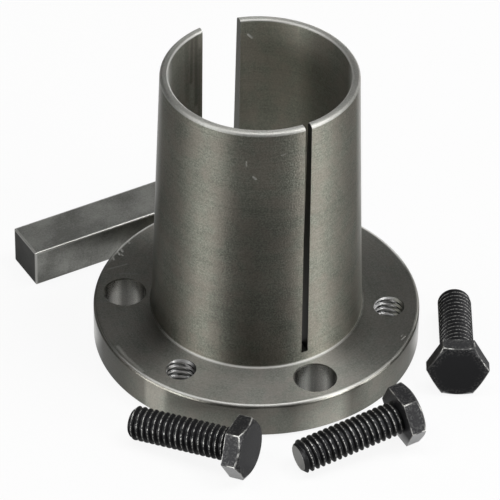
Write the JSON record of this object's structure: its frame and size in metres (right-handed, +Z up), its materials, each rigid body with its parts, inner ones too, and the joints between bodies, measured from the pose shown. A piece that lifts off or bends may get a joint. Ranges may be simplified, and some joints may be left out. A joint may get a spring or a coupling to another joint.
{
  "type": "quick disconnect bushing",
  "caption": "Flanged split taper bushing with a through keyway, clearance and tapped bolt holes, and its loose key and hexagon cap screws.",
  "frame": {"origin": "on the bore's axis, in the plane of the flange's outer face, which the bushing stands on", "axes": "+Z runs up the bore towards the barrel's thin end; +Y points from the axis to the middle of the keyway"},
  "size_m": [0.0922, 0.1079, 0.0746],
  "materials": {
    "turned_steel": "satin, turned",
    "key_steel": "cold drawn, satin",
    "black_oxide": "black oxide"
  },
  "bodies": {
    "root": {"bushing": "turned_steel", "key": "key_steel", "cap_screw_left": "black_oxide", "cap_screw_front": "black_oxide", "cap_screw_right": "black_oxide"}
  },
  "joints": []
}
